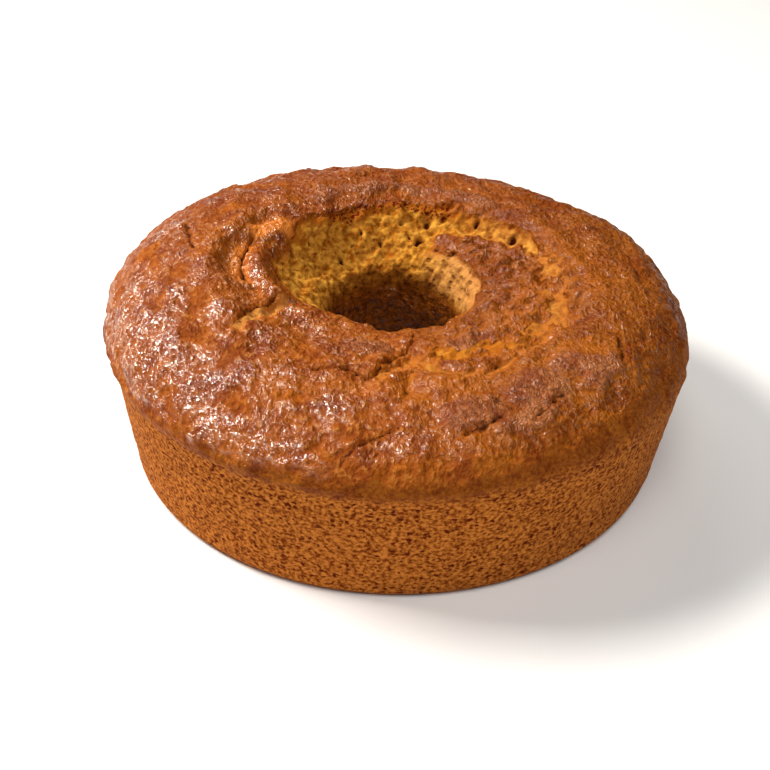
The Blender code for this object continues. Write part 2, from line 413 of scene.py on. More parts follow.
# Places on the crust: degrees, radius, half length round the ring, half width across it.
patches = {
    "plate": (  # dull, leathery and raised; their purplish colour is partly a painted sheen
        (62, 67, 14, 5), (84, 65.5, 13, 5), (106, 62, 12, 4.5), (122, 60, 7, 4), (286, 95, 13, 8),
        (303, 93, 13, 10), (300, 54, 12, 6), (257, 52, 9, 7), (318, 100, 10, 6), (296, 104, 12, 4),
        (314, 88, 8, 5),
    ),
    "amber": (  # stretched, with the crumb showing through
        (163, 60, 8, 5), (153, 53, 6, 4), (275, 84, 6, 5), (282, 76, 7, 4), (316, 83, 9, 5), (323, 90, 7, 5),
        (350, 80, 10, 6), (340, 54, 13, 8), (322, 56, 12, 8), (318, 67, 8, 5), (352, 60, 8, 6),
        (5, 76, 12, 6), (335, 66, 12, 7), (20, 70, 12, 4), (180, 72, 14, 5), (160, 62, 10, 5),
        (245, 92, 10, 8),
    ),
    "paintedLighter": ((178, 65, 11, 5), (191, 64, 8, 5)),  # painted light: the slope beside the lip, coloured paler as if lit
    "glossy": (
        (180, 67, 12, 6), (228, 114, 9, 6), (236, 116, 8, 5), (246, 116, 7, 4), (200, 113, 14, 5),
        (213, 112, 8, 5), (195, 107, 12, 10), (211, 107, 12, 9), (226, 106, 12, 9), (216, 116, 16, 5),
        (236, 115, 12, 5), (252, 116, 14, 4), (203, 95, 8, 7), (222, 52, 9, 8), (234, 53, 8, 6),
        (196, 70, 7, 8), (187, 55, 7, 5), (166, 55, 7, 4), (257, 91, 8, 7), (242, 88, 6, 8), (229, 70, 7, 7),
        (213, 80, 6, 5), (245, 64, 6, 5), (272, 105, 9, 5), (170, 95, 10, 10), (232, 96, 6, 6),
    ),
    "matte": (
        (217, 92, 6, 5), (237, 105, 9, 4), (239, 70, 12, 6), (261, 103, 8, 4), (179, 101, 9, 6),
        (206, 84, 7, 6), (228, 90, 5, 8), (192, 88, 6, 5),
    ),
}

# How the surface changes round the ring: twelve values, 30 degrees apart, with the right first.
surface = {
    # how glossy the crust is, its least gloss anywhere, and the gloss of its plates
    "gloss": (0.2, 0.32, 0.5, 0.7, 0.8, 0.95, 1.0, 1.0, 1.0, 0.65, 0.3, 0.15),
    "leastGloss": 0.3,
    "plateGloss": 0.36,
    # how brown the open crumb has toasted
    "toasted": (0.6, 0.25, 0.1, 0.15, 0.1, 0.0, 0.0, 0.1, 0.3, 0.4, 0.6, 0.75),
    # the height in the hole under which its wall is darker: browned against the tube, and painted shade
    "shadeTop": (52, 53, 60, 63, 63.5, 62.5, 60, 58, 58, 58, 56, 53),
    # how far below the crust's edge the side begins to show, and over what depth it fades in
    "sideStart": (-9, -7, -4, -1, 1, 2, 2.5, 2.5, 2, 0.5, -4, -8),
    "sideFade": (12, 10, 8, 4, 2.5, 2, 1.5, 2, 3, 5, 9, 12),
}

# Uneven fields over the surface: the size of their lumps in millimetres, their seed and their octaves.
unevenness = {
    "warpX": (5, 1, 3), "warpY": (5, 2, 3),  # these two bend every line and place that is laid on the top
    "jaggedX": (2.5, 4, 2), "jaggedY": (2.5, 5, 2),
    "tornEdge": (4.5, 3, 4), "thinSkin": (6, 17, 4), "sideEdge": (7, 11, 3), "glossPatches": (8, 12, 2),
    "rimGloss": (8, 14, 2), "toast": (6, 13, 3), "tubeEdge": (8, 15, 3), "openSide": (9, 16, 3),
    "thickCrust": (9, 18, 3),
}
farOutside = -50.0  # stands for a depth well outside a tear, in millimetres


def planPoint(degrees, radius):
    return np.array((radius * math.cos(math.radians(degrees)), radius * math.sin(math.radians(degrees))))


def routeDistance(plan, route):  # from each place in plan to the nearest point of a route
    stops = [planPoint(*stop) for stop in route]
    nearest = np.full(len(plan), 1e9)
    for start, end in zip(stops, stops[1:]):
        along = end - start
        share = np.clip(((plan - start) @ along) / (along @ along), 0, 1)
        nearest = np.minimum(nearest, np.linalg.norm(plan - start - share[:, None] * along, axis=1))
    return nearest


def patchShare(plan, spots):  # 1 in the middle of each place, falling to 0 at its edge and below outside it
    share = np.full(len(plan), -3.0)
    for degrees, radius, along, across in spots:
        turn = math.radians(degrees)
        outward = np.array((math.cos(turn), math.sin(turn)))
        offset = plan - outward * radius
        reach = np.hypot(offset @ outward / across, offset @ np.array((-outward[1], outward[0])) / along)
        share = np.maximum(share, 1 - reach)
    return share


def uneven(places, name):
    return fineNoise(places, *unevenness[name])


def surveyTop(mesh, form):  # where each point lies: in space, in plan, round the ring and along its form
    places = placesOf(mesh)
    plan = places[:, :2]
    angle = np.arctan2(plan[:, 1], plan[:, 0]) % math.tau
    mark, arc = fetch(mesh, "mark"), fetch(mesh, "arc")
    onBase = places[:, 2] < 1.5
    footArc = np.interp(angle, form["angles"], form["arc"][:, 0], period=math.tau)
    mark[onBase] = 8.5  # past every mark of the top
    arc[onBase] = (footArc - ring["baseRadius"] + np.linalg.norm(plan, axis=1))[onBase]
    return {
        "places": places, "plan": plan, "angle": angle, "mark": mark, "arc": arc, "onBase": onBase,
        "onTop": smoothStep(0.0, 0.12, mark) * (1 - smoothStep(5.2, 6.0, mark)),
        "warp": 1.6 * np.stack([uneven(places, "warpX"), uneven(places, "warpY")], -1),
        # skin pulled thin, on the right and in front
        "thin": smoothStep(0.2, 0.6, np.cos(angle + 0.75)) * (mark < 4.4),
    }


def zoneDepth(zone, form, at):  # how many millimetres inside a torn zone each point lies
    ends = []
    rows = len(form["marks"]) - len(ring["baseRows"]) - 1  # all but the rows of the base
    for end in ("start", "end"):
        wanted = around(zone[end], form["angles"])
        line = [np.interp(mark, form["marks"][:rows], arc[:rows]) for mark, arc in zip(wanted, form["arc"])]
        ends.append(np.interp(at["angle"], form["angles"], line, period=math.tau))
    depth = np.minimum(at["arc"] - ends[0], ends[1] - at["arc"])
    first, last = zone["degrees"]
    middle, half = math.radians((first + last) / 2), math.radians(last - first) / 2
    turn = np.abs((at["angle"] - middle + math.pi) % math.tau - math.pi)
    return np.minimum(depth, (half - turn) * tears["tearRadius"])


def openCrumb(at, form):  # how many millimetres inside open crumb each point lies, and below 0 on crust
    plan, mark, warp = at["plan"], at["mark"], at["warp"]
    crumb = np.full(len(plan), farOutside)
    for zone in tears["zones"]:
        crumb = np.maximum(crumb, zoneDepth(zone, form, at))
    crumb += 1.6 * uneven(at["places"], "tornEdge") * (1 - 0.6 * smoothStep(4.4, 4.9, mark))
    # the thin skin lies in pieces between spots of crumb
    broken = at["thin"] * np.maximum(0.0, 8.0 * uneven(at["places"], "thinSkin") + 3.8)
    crumb -= broken
    for tear in tears["acrossCrust"]:
        away = routeDistance(plan + warp, tear["route"])
        crumb = np.where(at["onTop"] > 0, np.maximum(crumb, tear["half"] - away - 0.5 * broken), crumb)
    skin = tears["stretchedSkin"]
    crumb = np.minimum(crumb, routeDistance(plan + warp, skin["route"]) - skin["half"] * 0.8)
    for island in tears["islands"]:
        crumb = np.minimum(crumb, routeDistance(plan + 0.7 * warp, island["route"]) - island["half"])
    return crumb


def thinSkinAndLitSlope(at):  # how far the skin is pulled thin and pale: beside tears and behind the lip; near the lip, painted light on the slope beside it
    bent = at["plan"] + at["warp"]
    pale = np.zeros(len(bent))
    for tear in tears["acrossCrust"]:
        away, half = routeDistance(bent, tear["route"]), tear["half"]
        pale = np.maximum(pale, tear["pale"] * (1 - smoothStep(0.3 * half, 1.5 * half, away)))
    # painted light: the slope beside the lip is coloured paler, as if lit
    paintedLighter = smoothStep(-0.2, 0.5, patchShare(at["plan"] + 1.5 * at["warp"], patches["paintedLighter"]))
    pale = np.maximum(pale, 0.55 * paintedLighter)
    away, half = routeDistance(bent, tears["stretchedSkin"]["route"]), tears["stretchedSkin"]["half"]
    return np.maximum(pale, 1 - smoothStep(0.3 * half, half, away))


def crackTop(at):  # how many millimetres inside a crack or pocket each point lies, and how far it cuts down
    plan, mark, warp = at["plan"], at["mark"], at["warp"]
    jagged = np.stack([uneven(at["places"], "jaggedX"), uneven(at["places"], "jaggedY")], -1)
    jagged = 0.5 * warp + 0.9 * jagged
    cleft, cut = np.full(len(plan), farOutside), np.zeros(len(plan))
    for line in tears["clefts"]:
        away = routeDistance(plan + jagged, line["route"])
        cleft = np.maximum(cleft, line["half"] - away)
        cut = np.maximum(cut, line["depth"] * (1 - smoothStep(0.2, line["half"] + 0.8, away)))
    for degrees, radius, half, depth in tears["pockets"]:
        away = np.linalg.norm(plan + 0.5 * warp - planPoint(degrees, radius), axis=1)
        cleft = np.maximum(cleft, 0.7 * half - away)
        cut = np.maximum(cut, depth * (1 - smoothStep(0.2 * half, half * 1.3, away)))
    return np.where((mark > 0) & (mark < 5.5), cleft, farOutside), cut


def shapeTop(at, plate, cut):  # swells, plates, tears, dents, folds and cracks, in millimetres of height
    plan, warp = at["plan"], at["warp"]
    swell, dip = np.zeros(len(plan)), np.zeros(len(plan))
    rng = random.Random(ring["swellSeed"])
    for length in ring["swellLengths"]:
        heading = rng.uniform(0, math.tau)
        wave = np.array((math.cos(heading), math.sin(heading))) * math.tau / length
        swell += np.sin(plan @ wave + rng.uniform(0, math.tau))
    for tear in tears["acrossCrust"]:
        away, half = routeDistance(plan + warp, tear["route"]), tear["half"]
        dip = np.maximum(dip, tear["dip"] * (1 - smoothStep(0.3 * half, 2.2 * half, away)))
    for dent in tears["dents"]:
        away = routeDistance(plan + warp, dent["route"])
        dip += dent["depth"] * (1 - smoothStep(0.0, dent["half"], away))
    for fold in tears["folds"]:
        away = routeDistance(plan + 0.5 * warp, fold["route"])
        dip -= fold["lift"] * (1 - smoothStep(0.0, fold["half"], away))
    raised = tears["plateLift"] * smoothStep(-0.2, 0.15, plate)
    at["places"][:, 2] += (ring["swellHeight"] * swell + raised - dip - cut) * at["onTop"]


def groupRelief(cake, at, crumb):  # where each kind of relief shows, and how strongly
    mark = at["mark"]
    crust = smoothStep(-1.2, 0.6, -crumb) * (mark < 6.2)
    lip = tears["islands"][0]["route"]
    offLip = 0.35 + 0.65 * smoothStep(3.0, 7.0, routeDistance(at["plan"], lip))  # the lip is smooth
    toEdge = smoothStep(-0.06, 0.05, mark) * (1 - smoothStep(5.2, 6.0, mark))
    side = smoothStep(-1.0, -0.95, mark) * (1 - smoothStep(-0.08, 0.05, mark))
    innerRight = smoothStep(1.6, 2.4, mark) * (1 - smoothStep(4.7, 5.3, mark))
    innerRight *= smoothStep(0.2, 0.7, np.cos(at["angle"] - 0.1))
    groups = {
        "crust": crust * offLip * toEdge,
        "crumb": (1 - crust) * smoothStep(1.3, 1.9, mark) * (mark < 6.6),
        "side": side * ~at["onBase"],
        "lifted": crust * smoothStep(0.9, 1.6, mark) * (1 - smoothStep(5.0, 5.6, mark)),
        "rugged": crust * innerRight,
    }
    for name, weights in groups.items():
        group = cake.vertex_groups.new(name=name)
        for index in np.flatnonzero(weights > 0.002):
            group.add([int(index)], float(weights[index]), "REPLACE")


def glossOf(at, plate, cleft):  # how far the film on the crust shines
    plan, warp, angle = at["plan"], at["warp"], at["angle"]
    matte = smoothStep(-0.15, 0.3, patchShare(plan + 1.5 * warp, patches["matte"]))
    for dent in tears["dents"]:
        away, half = routeDistance(plan + warp, dent["route"]), dent["half"]
        matte = np.maximum(matte, 1 - smoothStep(0.4 * half, half, away))
    patchy = 0.5 * smoothStep(-0.3, 0.3, uneven(at["places"], "glossPatches"))
    patchy = np.maximum(patchy, smoothStep(-0.35, 0.2, patchShare(plan + 2 * warp, patches["glossy"])))
    gloss = around(surface["gloss"], angle) * (0.12 + 0.88 * patchy)
    gloss = np.maximum(gloss, surface["leastGloss"]) * (1 - 0.75 * matte)
    gloss = np.maximum(gloss, surface["plateGloss"] * smoothStep(-0.3, 0.3, plate))
    gloss *= 1 - smoothStep(-1.5, -0.2, cleft)
    gloss *= smoothStep(1.0, 5.5, at["arc"] + 2.5 * uneven(at["places"], "rimGloss"))
    frontRight = smoothStep(0.0, 0.5, np.cos(angle + 0.5))
    gloss *= 1 - frontRight * (1 - smoothStep(6.0, 20.0, at["arc"]))
    return np.clip(gloss, 0, 1)


def markCrust(mesh, at, crumb, cleft, plate):  # the fields that the finish of the crust follows
    places, plan, warp = at["places"], at["plan"], at["warp"]
    mark, arc, angle = at["mark"], at["arc"], at["angle"]
    dulled = smoothStep(0.2, 0.8, np.cos(angle - math.radians(290))) * (1 - smoothStep(1.0, 7.0, arc))
    scorch = 1 - smoothStep(1.0, 3.4, routeDistance(plan + warp, tears["scorched"]))
    thick = smoothStep(3.5, 4.1, mark) * (1 - smoothStep(4.95, 5.2, mark))  # between the valley and the hole
    thick *= smoothStep(0.2, 0.7, np.cos(angle - 0.9))
    thick = np.maximum(thick, 0.8 * smoothStep(0.1, 0.6, np.sin(angle)) * (mark < 2))  # the back of the dome
    amber = np.maximum(patchShare(plan + 1.5 * warp, patches["amber"]), 0.5 - np.abs(plate + 0.35) / 0.2)
    # painted highlight: a paler amber line round the front of the rim, where its sheen shows
    rimHighlight = 0.9 * np.exp(-((mark - 5.0) / 0.14) ** 2) * smoothStep(0.2, 0.6, -np.sin(angle))
    thinSkinAndRimHighlight = np.maximum(rimHighlight, at["thin"] * smoothStep(-5, -1, crumb))
    store(mesh, "gloss", glossOf(at, plate, cleft))
    store(mesh, "smoothShare", np.clip(around(surface["gloss"], angle) * (1 - 0.8 * dulled), 0, 1))
    store(mesh, "scorchShare", scorch * (mark < 3))
    store(mesh, "deepShare", thick * smoothStep(-0.6, 0.2, uneven(places, "thickCrust")))
    store(mesh, "plateShare", smoothStep(-0.15, 0.15, plate) * at["onTop"])
    store(mesh, "amberShare", np.maximum(smoothStep(-0.3, 0.5, amber), thinSkinAndRimHighlight) * at["onTop"])


def markSide(mesh, at):  # the fields that the finish of the side follows
    mark = at["mark"]
    below = np.where(mark < 2, -at["arc"], farOutside)  # millimetres under the edge of the crust
    start, fade = around(surface["sideStart"], at["angle"]), around(surface["sideFade"], at["angle"])
    sideShare = smoothStep(0, 1, (below - start + 2.0 * uneven(at["places"], "sideEdge")) / fade)
    pulled = np.exp(-((below - 2.5) / 1.8) ** 2)
    pulled *= smoothStep(0.5, 0.9, np.cos(at["angle"] - math.radians(302)))
    openShare = smoothStep(-0.5, 0.6, uneven(at["places"], "openSide")) * (1 - smoothStep(4.0, 26.0, below))
    store(mesh, "sideShare", np.where(mark >= 6.9, 1.0, sideShare))
    store(mesh, "openShare", openShare + pulled)


def markCrumb(mesh, at, crumb, thinAndLitSkin):  # the fields that the finish of the crumb and of the hole follows
    places, mark, angle = at["places"], at["mark"], at["angle"]
    toasted = around(surface["toasted"], angle) + 0.4 * uneven(places, "toast")
    atBack = smoothStep(0.0, 0.5, np.sin(angle - 0.7)) * (mark < 3)
    toasted += 0.6 * (1 - smoothStep(1.0, 7.0, crumb)) * atBack
    toasted += 0.8 * (1 - smoothStep(0.3, 2.2, crumb)) * (mark > 4.3)
    # the wall of the hole, darker where it has baked brown against the tube and as painted shade deep in the
    # hole, and paler on its lit side, as painted light
    height = places[:, 2] + 2.4 * uneven(places, "tubeEdge")
    drop = around(surface["shadeTop"], angle) - height
    band = 0.5 * np.exp(-((height - 57.5) / 0.9) ** 2)  # a paler line round the wall
    # the tube mask: browning against the tin, also used as painted shade deep in the hole
    tube = smoothStep(5.0, 5.6, mark) * smoothStep(0.0, 4.0, drop) * (1 - band)
    offRight = np.abs((angle - 0.35 + math.pi) % math.tau - math.pi)
    wall = np.clip(smoothStep(4.6, 5.0, mark) * np.clip(1.6 - offRight / 0.6, 0, 1), 0, 1)
    valley = smoothStep(2.0, 2.3, mark) * (1 - smoothStep(3.2, 3.7, mark))
    valley *= smoothStep(0.5, 0.9, np.cos(angle - 0.1))
    # painted light: the lit side of the hole's wall and the lit slope beside the lip are coloured paler; the
    # skin pulled thin and a strip of the valley add paler crumb of their own
    pale = np.maximum(np.maximum(wall * smoothStep(50.0, 56.0, height), thinAndLitSkin), 0.25 * valley)
    store(mesh, "crumbDepth", crumb)
    store(mesh, "toastShare", np.clip(toasted, 0, 1))
    store(mesh, "tubeBrownAndShadeShare", tube * (mark < 8))
    store(mesh, "paleAndLitShare", pale)
    store(mesh, "thinAndLitShare", thinAndLitSkin)


def cutTears(cake, form):
    at = surveyTop(cake.data, form)
    crumb, thinAndLitSkin = openCrumb(at, form), thinSkinAndLitSlope(at)
    cleft, cut = crackTop(at)
    plate = patchShare(at["plan"] + 1.6 * at["warp"], patches["plate"])
    shapeTop(at, plate, cut)
    movePoints(cake.data, at["places"])
    print("tears, cracks and pockets cut")
    groupRelief(cake, at, crumb)
    markCrust(cake.data, at, crumb, cleft, plate)
    markSide(cake.data, at)
    markCrumb(cake.data, at, crumb, thinAndLitSkin)
    store(cake.data, "cleftDepth", cleft)
    print("relief and finishes marked")


# Relief in millimetres: size of its lumps, and height from lowest to highest.
reliefLayers = (
    {"name": "liftedSkin", "group": "lifted", "pattern": None, "height": 0.8, "level": 0.0},
    {"name": "dents", "group": "crust", "pattern": "CLOUDS", "size": 10, "height": 3.0, "level": 0.5,
     "settings": {"noise_depth": 1}},
    {"name": "wrinkles", "group": "crust", "pattern": "CLOUDS", "size": 4.5, "height": 1.5, "level": 0.5,
     "settings": {"noise_depth": 2}},
    {"name": "creases", "group": "crust", "pattern": "CLOUDS", "size": 2.2, "height": 0.5, "level": 0.5,
     "settings": {"noise_depth": 1}},
    {"name": "leather", "group": "crust", "pattern": "VORONOI", "size": 5.0, "height": 0.9, "level": 0.3,
     "settings": {"weight_1": -1.0, "weight_2": 1.0}},
    {"name": "plateLumps", "group": "rugged", "pattern": "CLOUDS", "size": 5.0, "height": 6.0, "level": 0.5,
     "settings": {"noise_depth": 2}},
    {"name": "crags", "group": "crumb", "pattern": "CLOUDS", "size": 6, "height": 4.0, "level": 0.5,
     "settings": {"noise_depth": 3}},
    {"name": "crumbs", "group": "crumb", "pattern": "VORONOI", "size": 3.6, "height": -1.8, "level": 0.3,
     "settings": {"distance_metric": "DISTANCE_SQUARED"}},
    {"name": "sideWaves", "group": "side", "pattern": "CLOUDS", "size": 14, "height": 1.0, "level": 0.5,
     "settings": {"noise_depth": 1}},
    {"name": "sideGrain", "group": "side", "pattern": "CLOUDS", "size": 2.4, "height": 0.7, "level": 0.5,
     "settings": {"noise_depth": 1}},
)


def raiseRelief(cake):  # one displaced layer after another, each only where its vertex group says
    for layer in reliefLayers:
        pattern = None
        if layer["pattern"]:
            pattern = bpy.data.textures.new(layer["name"], layer["pattern"])
            pattern.noise_scale = layer["size"] / 1000
            for name, value in layer["settings"].items():
                setattr(pattern, name, value)
        applyModifier(cake, "DISPLACE", texture=pattern, texture_coords="LOCAL", direction="NORMAL",
                      strength=layer["height"] / 1000, mid_level=layer["level"], vertex_group=layer["group"])
        print("relief:", layer["name"])


def addNode(tree, kind, inputs=(), out=0, **settings):  # adds a node, set up and linked, and gives its output
    made = tree.nodes.new("ShaderNode" + kind)
    for name, value in settings.items():
        setattr(made, name, value)
    for socket, value in dict(inputs).items():
        if isinstance(value, bpy.types.NodeSocket):
            tree.links.new(value, made.inputs[socket])
        else:
            made.inputs[socket].default_value = value
    return made.outputs[out]


finish = {
    # crust
    # the crease colour is painted shade in creases and crackle lines; crustPale, on the ridges, a painted
    # highlight
    "crustDeep": "#7e380c", "crustThick": "#6e2a04", "crustMid": "#a05210", "creaseShade": "#601e00",
    "crustPale": "#c27a32", "grainDeep": "#6c2a04", "grainPale": "#a45c16", "amber": "#a95a10",
    # the plates' purplish browns are partly a painted sheen
    "amberPale": "#f28c36", "plateDeep": "#8a4624", "platePale": "#b06c3e", "scorch": "#5e1402",
    # side
    # the pore colour is painted shade in the side's pores
    "sideDeep": "#702c00", "sideMid": "#ca7a30", "sidePoreShade": "#5e1a00",
    # crumb, the hole and the cracks
    # the pit colour is painted shade in the crumb's pits
    "crumbToast": "#a3560f", "crumbBrown": "#8c4a04", "crumbGold": "#de9e3a", "crumbPitShade": "#5e2a04",
    # crumbPale is partly painted light on lit crumb; the tube colours are partly painted shade
    "crumbPale": "#eeb068", "tubeDeep": "#3e1502", "tubePale": "#85470a", "cleft": "#3a0f00",
    # the cleft colour above is painted shade in cracks and pockets
    # sheen
    "crustRoughness": 0.6, "glossyRoughness": 0.4, "crumbRoughness": 0.9, "specularLevel": 0.06,
    "filmRoughness": 0.07, "filmIOR": 2.05,
    "bumpHeight": 0.0004,  # metres
    # sizes of the patterns in millimetres
    "sizes": {"fine": 1.3, "grain": 2.6, "blotch": 12.0, "crease": 2.1, "sideGrain": 1.5, "holes": 3.4,
              "pores": 2.0, "crackle": 3.0},
}


def layPatterns(tree):  # on the cake's own coordinates in millimetres
    place = addNode(tree, "TexCoord", out="Object")
    mm = addNode(tree, "VectorMath", {0: place, "Scale": 1000.0}, operation="SCALE")
    drawnOut = addNode(tree, "VectorMath", {0: mm, 1: (1.0, 0.8, 0.9)}, operation="MULTIPLY")
    flattened = addNode(tree, "VectorMath", {0: mm, 1: (0.75, 0.75, 1.0)}, operation="MULTIPLY")
    pressed = addNode(tree, "VectorMath", {0: mm, 1: (1.0, 1.0, 1.2)}, operation="MULTIPLY")
    pattern = {}
    noises = (("fine", mm, 1.0, 0.5, 0.0), ("grain", mm, 2.0, 0.5, 0.0), ("blotch", mm, 4.0, 0.5, 0.6),
              ("crease", drawnOut, 2.0, 0.5, 0.3), ("sideGrain", pressed, 2.0, 0.55, 0.0))
    for name, along, detail, roughness, distortion in noises:
        look = {"Vector": along, "Scale": 1 / finish["sizes"][name], "Detail": detail, "Roughness": roughness,
                "Distortion": distortion}
        pattern[name] = addNode(tree, "TexNoise", look)
    drift = pattern["crease"].node.outputs["Color"]
    wobble = addNode(tree, "VectorMath", {0: drift, 1: flattened}, operation="ADD")
    leather = addNode(tree, "VectorMath", {0: drift, 1: (4.0, 4.0, 4.0), 2: drawnOut},
                      operation="MULTIPLY_ADD")
    cells = (("holes", mm, "F1"), ("pores", wobble, "F1"), ("crackle", leather, "DISTANCE_TO_EDGE"))
    for name, along, feature in cells:
        pattern[name] = addNode(tree, "TexVoronoi", {"Vector": along, "Scale": 1 / finish["sizes"][name]},
                                feature=feature)
    for name, source in (("holeSize", "holes"), ("poreSize", "pores")):  # a random share for each cell
        pattern[name] = addNode(tree, "SeparateColor", {0: pattern[source].node.outputs["Color"]})
    spreads = (("sideContrast", "sideGrain", 0.36, 0.64), ("crumbContrast", "grain", 0.32, 0.68),
               ("tone", "blotch", 0.35, 0.65), ("crackleLine", "crackle", 0.12, 0.0),
               ("specks", "fine", 0.48, 0.6))
    for name, source, low, high in spreads:
        spread = {"Value": pattern[source], "From Min": low, "From Max": high}
        pattern[name] = addNode(tree, "MapRange", spread)
    return pattern


def tearShares(tree, field, pattern):  # where the crust is torn open, how deep inside, and where a crack runs
    fineHalf = addNode(tree, "Math", {0: pattern["fine"], 1: 0.5}, operation="SUBTRACT")
    ragged = addNode(tree, "Math", {0: fineHalf, 1: 2.5, 2: field["crumbDepth"]}, operation="MULTIPLY_ADD")
    crumb = addNode(tree, "MapRange", {"Value": ragged, "From Min": -1.0, "From Max": 1.2})
    deepCrumb = addNode(tree, "MapRange", {"Value": ragged, "From Min": -1.0, "From Max": 5.0})
    raggedCleft = addNode(tree, "Math", {0: fineHalf, 1: 1.0, 2: field["cleftDepth"]},
                          operation="MULTIPLY_ADD")
    # painted shade: cracks and pockets are coloured near black
    cleft = addNode(tree, "MapRange", {"Value": raggedCleft, "From Min": -0.5, "From Max": 0.4})
    return {"crumb": crumb, "deepCrumb": deepCrumb, "cleft": cleft}


def skinColour(tree, field, pattern, colour):  # reddish brown, amber where stretched, with painted shade in its creases and a painted highlight on its ridges
    crustTone = addNode(tree, "Mix", {0: pattern["tone"], 6: colour["crustDeep"], 7: colour["crustMid"]},
                        out=2, data_type="RGBA")
    # painted highlight: the ridges of the wrinkles are coloured paler
    paleAndLitShare = addNode(tree, "MapRange",
                        {"Value": pattern["crease"], "From Min": 0.52, "From Max": 0.75, "To Max": 0.7})
    smooth = addNode(tree, "Mix", {0: paleAndLitShare, 6: crustTone, 7: colour["crustPale"]}, out=2,
                     data_type="RGBA")
    grainTone = addNode(tree, "Mix", {0: 0.5, 2: pattern["sideContrast"], 3: pattern["tone"]})
    granular = addNode(tree, "Mix", {0: grainTone, 6: colour["grainDeep"], 7: colour["grainPale"]}, out=2,
                       data_type="RGBA")
    smoothShare = addNode(tree, "MapRange",
                          {"Value": field["smoothShare"], "From Min": 0.25, "From Max": 0.7})
    skin = addNode(tree, "Mix", {0: smoothShare, 6: granular, 7: smooth}, out=2, data_type="RGBA")
    # the plates' purplish browns are partly a painted sheen
    leathery = addNode(tree, "Mix", {0: pattern["tone"], 6: colour["plateDeep"], 7: colour["platePale"]},
                       out=2, data_type="RGBA")
    # the thin skin's bright orange is partly its own colour and partly painted light, also on the slope
    # beside the lip
    layers = (("amberShare", 0.6, colour["amber"]), ("thinAndLitShare", 0.8, colour["amberPale"]),
              ("deepShare", 0.4, colour["crustThick"]), ("plateShare", 0.7, leathery))
    for name, strength, over in layers:
        share = addNode(tree, "Math", {0: field[name], 1: strength}, operation="MULTIPLY")
        skin = addNode(tree, "Mix", {0: share, 6: skin, 7: over}, out=2, data_type="RGBA")
    # painted shade: the creases and the plates' crackle lines are coloured darker
    hollow = addNode(tree, "MapRange",
                     {"Value": pattern["crease"], "From Min": 0.46, "From Max": 0.3, "To Max": 0.5})
    creaseShadeShare = addNode(tree, "Math", {0: pattern["plateCrackle"], 1: 0.24, 2: hollow},
                          operation="MULTIPLY_ADD", use_clamp=True)
    return addNode(tree, "Mix", {0: creaseShadeShare, 6: skin, 7: colour["creaseShade"]}, out=2, data_type="RGBA")


def sideColour(tree, field, pattern, colour):  # tan crumb, fine and uneven, with painted shade in its pores
    poreReach = addNode(tree, "MapRange",
                        {"Value": pattern["poreSize"], "From Min": 0.25, "From Max": 1.0, "To Min": 0.4,
                         "To Max": 0.9})
    openPore = addNode(tree, "Math", {0: field["openShare"], 1: 0.13, 2: poreReach}, operation="MULTIPLY_ADD")
    frayed = addNode(tree, "Math", {0: pattern["sideGrain"], 1: 1.1, 2: pattern["pores"]},
                     operation="MULTIPLY_ADD")
    pore = addNode(tree, "Math", {0: openPore, 1: frayed}, operation="SUBTRACT")
    # painted shade: the pores are coloured dark
    poreShare = addNode(tree, "MapRange", {"Value": pore, "From Min": -0.1, "From Max": 0.1})
    sideTone = addNode(tree, "Mix", {0: pattern["sideContrast"], 6: colour["sideDeep"], 7: colour["sideMid"]},
                       out=2, data_type="RGBA")
    side = addNode(tree, "Mix", {0: poreShare, 6: sideTone, 7: colour["sidePoreShade"]}, out=2, data_type="RGBA")
    return side, poreShare


def crumbColour(tree, field, pattern, deepCrumb, colour):  # toasted at its edge, golden inside, with painted shade in its pits
    tone = addNode(tree, "Mix",
                   {0: pattern["crumbContrast"], 6: colour["crumbBrown"],
                    7: colour["crumbGold"]}, out=2, data_type="RGBA")
    untoasted = addNode(tree, "Math", {0: 1.0, 1: field["toastShare"]}, operation="SUBTRACT")
    golden = addNode(tree, "Math", {0: untoasted, 1: deepCrumb}, operation="MULTIPLY")
    toasted = addNode(tree, "Mix", {0: golden, 6: colour["crumbToast"], 7: tone}, out=2, data_type="RGBA")
    holeReach = addNode(tree, "MapRange",
                        {"Value": pattern["holeSize"], "From Min": 0.2, "From Max": 1.0, "To Min": -0.1,
                         "To Max": 0.36})
    # painted shade: the crumb's pits are coloured dark
    pit = addNode(tree, "Math", {0: holeReach, 1: pattern["holes"]}, operation="SUBTRACT")
    pitShare = addNode(tree, "MapRange", {"Value": pit, "From Min": -0.06, "From Max": 0.12, "To Max": 0.65})
    # painted light: the crumb is coloured paler where the hole's wall and the slope beside the lip are lit
    litPart = addNode(tree, "Math", {0: field["paleAndLitShare"], 1: 0.42}, operation="MULTIPLY")
    lit = addNode(tree, "Mix", {0: litPart, 6: toasted, 7: colour["crumbPale"]}, out=2, data_type="RGBA")
    pitted = addNode(tree, "Mix", {0: pitShare, 6: lit, 7: colour["crumbPitShade"]}, out=2, data_type="RGBA")
    return pitted, pitShare


